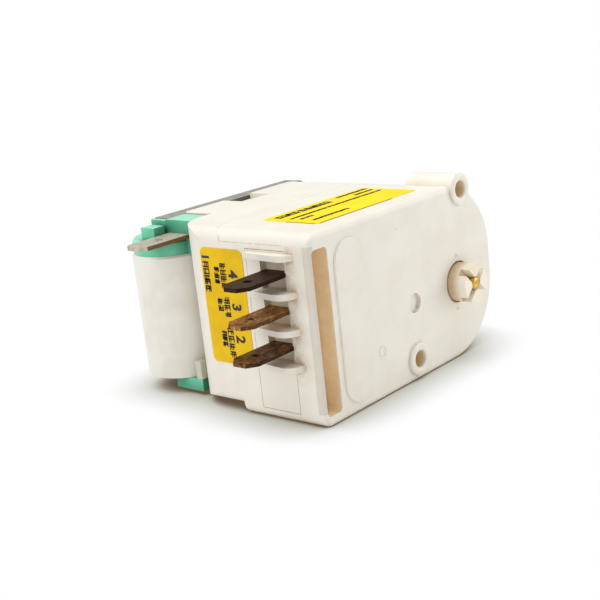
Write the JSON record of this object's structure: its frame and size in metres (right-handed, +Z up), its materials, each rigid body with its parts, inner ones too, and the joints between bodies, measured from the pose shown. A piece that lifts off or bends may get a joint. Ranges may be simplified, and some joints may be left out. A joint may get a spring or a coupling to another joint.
{
  "type": "defrost timer",
  "caption": "Refrigerator defrost timer: moulded housing with blade terminals, manual advance shaft, cam switch, gear train and synchronous motor.",
  "frame": {"origin": "centre of the lower screw hole's mouth on the front face", "axes": "+X along the housing away from the blades, +Y back towards the motor, +Z up"},
  "size_m": [0.0744, 0.0611, 0.0405],
  "materials": {
    "housing": "moulded, satin",
    "terminal_plastic": "moulded, satin",
    "cam_plastic": "moulded acetal, satin",
    "gear_plastic": "moulded acetal, satin",
    "green_plastic": "moulded, slightly glossy",
    "white_sleeve": "smooth, slightly glossy",
    "tarnished_brass": "tarnished brown",
    "plated_brass": "dull plating, brown edges",
    "bright_brass": "turned, bright",
    "spring_bronze": "rolled strip",
    "contact_silver": "silver contact metal",
    "steel": "ground steel",
    "lamination": "stamped electrical sheet",
    "magnet": "bonded ferrite",
    "copper": "enamelled copper wire",
    "label_side": "printed yellow label",
    "label_top": "printed yellow label"
  },
  "bodies": {
    "housing": {"front_cover": "housing", "rear_case": "housing", "gear_plate": "steel", "terminal_block": "terminal_plastic", "tab_4": "tarnished_brass", "tab_3": "tarnished_brass", "tab_2": "tarnished_brass", "tab_1": "plated_brass", "upper_leaf": "spring_bronze", "lower_leaf": "spring_bronze", "arm_root": "spring_bronze", "upper_contact": "contact_silver", "lower_contact": "contact_silver", "cam_axle": "bright_brass", "long_axle": "steel", "short_axle": "steel", "rear_bearing": "steel", "stator_stack": "lamination", "core_bar": "lamination", "bobbin": "green_plastic", "coil_winding": "copper", "coil_sleeve": "white_sleeve", "stator_screws": "steel", "side_label": "label_side", "top_label": "label_top"},
    "rotor": {"rotor_shaft": "steel", "rotor_pinion": "gear_plastic", "rotor_magnet": "magnet"},
    "idler_1": {"idler_1": "gear_plastic"},
    "idler_2": {"idler_2": "gear_plastic"},
    "idler_3": {"idler_3": "gear_plastic"},
    "idler_4": {"idler_4": "gear_plastic"},
    "idler_5": {"idler_5": "gear_plastic"},
    "drive_gear": {"drive_gear": "gear_plastic"},
    "cam": {"cam": "cam_plastic", "clutch_washer": "steel"},
    "contact_arm": {"contact_arm": "spring_bronze", "arm_contact": "contact_silver"}
  },
  "joints": [
    {"name": "rotor_spin", "type": "hinge", "parent": "housing", "child": "rotor", "pos_m": [0.01361, 0.0464, 0.01418], "axis": [0, -1, 0], "continuous": true},
    {"name": "idler_1_spin", "type": "hinge", "parent": "housing", "child": "idler_1", "pos_m": [0.00411, 0.0422, 0.01418], "axis": [0, -1, 0], "continuous": true},
    {"name": "idler_2_spin", "type": "hinge", "parent": "housing", "child": "idler_2", "pos_m": [-0.00064, 0.0395, 0.02241], "axis": [0, -1, 0], "continuous": true},
    {"name": "idler_3_spin", "type": "hinge", "parent": "housing", "child": "idler_3", "pos_m": [0.00411, 0.0368, 0.01418], "axis": [0, -1, 0], "continuous": true},
    {"name": "idler_4_spin", "type": "hinge", "parent": "housing", "child": "idler_4", "pos_m": [-0.00064, 0.0341, 0.02241], "axis": [0, -1, 0], "continuous": true},
    {"name": "idler_5_spin", "type": "hinge", "parent": "housing", "child": "idler_5", "pos_m": [0.00411, 0.0314, 0.01418], "axis": [0, -1, 0], "continuous": true},
    {"name": "drive_spin", "type": "hinge", "parent": "housing", "child": "drive_gear", "pos_m": [0.01698, 0.0254, 0.01235], "axis": [0, -1, 0], "continuous": true},
    {"name": "cam_spin", "type": "hinge", "parent": "housing", "child": "cam", "pos_m": [0.01698, 0.0004, 0.01235], "axis": [0, -1, 0], "continuous": true},
    {"name": "contact_arm_flex", "type": "hinge", "parent": "housing", "child": "contact_arm", "pos_m": [-0.0196, 0.00975, 0.01903], "axis": [0, 1, 0], "range_deg": [0, 1.5], "stiffness_Nm_per_rad": 0.02}
  ],
  "couplings": [
    {"joint": "idler_1_spin", "follows": "rotor_spin", "ratio": -0.26667},
    {"joint": "idler_2_spin", "follows": "rotor_spin", "ratio": 0.071111},
    {"joint": "idler_3_spin", "follows": "rotor_spin", "ratio": -0.018963},
    {"joint": "idler_4_spin", "follows": "rotor_spin", "ratio": 0.0050568},
    {"joint": "idler_5_spin", "follows": "rotor_spin", "ratio": -0.0013485},
    {"joint": "drive_spin", "follows": "rotor_spin", "ratio": 0.00024518}
  ]
}
